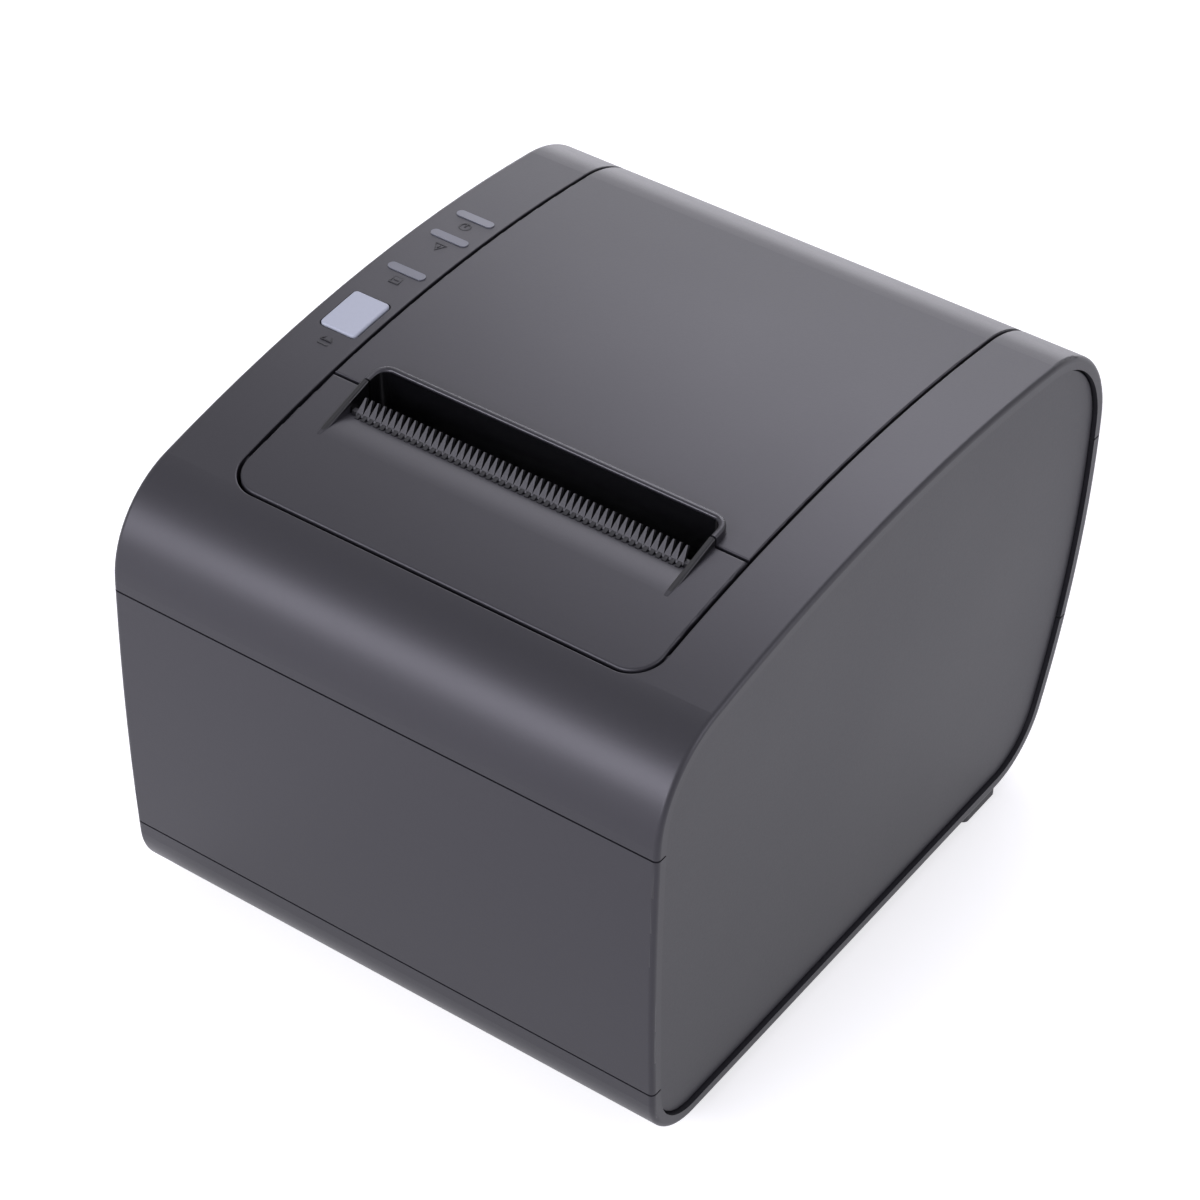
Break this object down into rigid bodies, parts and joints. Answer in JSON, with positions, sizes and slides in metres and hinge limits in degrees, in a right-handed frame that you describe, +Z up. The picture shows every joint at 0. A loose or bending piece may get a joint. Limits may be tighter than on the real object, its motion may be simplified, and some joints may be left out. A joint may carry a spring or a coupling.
{
  "type": "receipt printer",
  "caption": "Desktop thermal receipt printer with a curved case, drop-in paper lid, tear comb, cutter cover, status windows and a feed button.",
  "frame": {"origin": "under the middle of the case, on the plane the feet rest on", "axes": "+X to the right seen from the front, +Y to the rear, +Z up; the front faces -Y"},
  "size_m": [0.14, 0.172, 0.1218],
  "materials": {
    "case_plastic": "fine satin texture",
    "side_plastic": "fine satin texture",
    "trim_plastic": "satin",
    "window_plastic": "translucent grey",
    "comb_metal": "blackened steel",
    "foot_rubber": "matt",
    "inner_plastic": "moulded",
    "gear_plastic": "natural",
    "sheet_steel": "zinc plated",
    "bright_steel": "ground",
    "sink_metal": "extruded",
    "head_ceramic": "glazed ceramic",
    "roller_rubber": "ground",
    "board_resin": "solder mask",
    "component_resin": "moulded",
    "lamp_resin": "clear",
    "rocker_plastic": "polished"
  },
  "bodies": {
    "case": {"front_panel": "case_plastic", "rear_panel": "case_plastic", "side_panel_right": "side_plastic", "side_panel_left": "side_plastic", "top_casing": "case_plastic", "front_feet": "foot_rubber", "rear_feet": "foot_rubber", "bottom_base": "case_plastic", "hinge_pins": "bright_steel", "rear_window": "window_plastic", "middle_window": "window_plastic", "front_window": "window_plastic", "panel_board": "board_resin", "status_lamps": "lamp_resin", "feed_switch": "inner_plastic", "paper_bucket": "inner_plastic", "paper_sensor": "inner_plastic", "idler_axle": "bright_steel", "mechanism_frame": "sheet_steel", "feed_motor": "sheet_steel", "head_rod": "bright_steel", "head_springs": "bright_steel", "cutter_base": "sheet_steel", "blade_guide": "sheet_steel", "cutter_motor": "sheet_steel", "main_board": "board_resin", "board_components": "component_resin", "usb_socket": "sheet_steel", "network_socket": "inner_plastic", "drawer_socket": "inner_plastic", "power_jack": "inner_plastic", "socket_plate": "sheet_steel", "switch_housing": "inner_plastic", "case_screws": "bright_steel", "board_screws": "bright_steel", "mechanism_screws": "bright_steel"},
    "lid": {"paper_lid": "case_plastic", "platen_bushes": "inner_plastic", "platen_holder": "inner_plastic", "fixed_blade": "bright_steel", "holder_screws": "bright_steel"},
    "cover": {"cutter_cover": "case_plastic", "tear_comb": "comb_metal"},
    "platen": {"platen_roller": "roller_rubber", "platen_shaft": "bright_steel", "platen_gear": "gear_plastic"},
    "idler": {"idler_gear": "gear_plastic"},
    "pinion": {"motor_pinion": "gear_plastic"},
    "head": {"heat_sink": "sink_metal", "print_head": "head_ceramic"},
    "blade": {"cutter_blade": "bright_steel"},
    "cutter_drive": {"cutter_pinion": "gear_plastic", "thumb_wheel": "inner_plastic"},
    "button": {"feed_button": "trim_plastic"},
    "rocker": {"power_rocker": "rocker_plastic"}
  },
  "joints": [
    {"name": "lid_hinge", "type": "hinge", "parent": "case", "child": "lid", "pos_m": [0, 0.081, 0.092], "axis": [-1, 0, 0], "range_deg": [0, 85]},
    {"name": "cover_hinge", "type": "hinge", "parent": "case", "child": "cover", "pos_m": [0, -0.05825, 0.11207], "axis": [1, 0, 0], "range_deg": [0, 50]},
    {"name": "platen_spin", "type": "hinge", "parent": "lid", "child": "platen", "pos_m": [-0.05, -0.021, 0.096], "axis": [1, 0, 0], "continuous": true},
    {"name": "idler_spin", "type": "hinge", "parent": "case", "child": "idler", "pos_m": [-0.05, -0.02866, 0.07495], "axis": [1, 0, 0], "continuous": true},
    {"name": "pinion_spin", "type": "hinge", "parent": "case", "child": "pinion", "pos_m": [-0.05, -0.03997, 0.06147], "axis": [1, 0, 0], "continuous": true},
    {"name": "head_tilt", "type": "hinge", "parent": "case", "child": "head", "pos_m": [0, -0.032, 0.082], "axis": [1, 0, 0], "range_deg": [0, 3], "stiffness_Nm_per_rad": 0.8, "springref_deg": -5.73, "deforming": ["head_springs"]},
    {"name": "cutter_slide", "type": "slide", "parent": "case", "child": "blade", "axis": [0, 1, 0], "range_m": [0, 0.0095]},
    {"name": "cutter_spin", "type": "hinge", "parent": "case", "child": "cutter_drive", "pos_m": [-0.014, -0.049, 0.105], "axis": [0, 0, 1], "range_deg": [0, 152]},
    {"name": "feed_press", "type": "slide", "parent": "case", "child": "button", "axis": [0, 0, -1], "range_m": [0, 0.0008], "stiffness_N_per_m": 300, "springref_m": -0.002},
    {"name": "rocker_tilt", "type": "hinge", "parent": "case", "child": "rocker", "pos_m": [0.044, 0.062, 0.0183], "axis": [1, 0, 0], "range_deg": [0, 20]}
  ],
  "couplings": [
    {"joint": "idler_spin", "follows": "platen_spin", "ratio": -0.86667},
    {"joint": "pinion_spin", "follows": "platen_spin", "ratio": 1.8571},
    {"joint": "cutter_spin", "follows": "cutter_slide", "rad_per_m": 277.78}
  ]
}
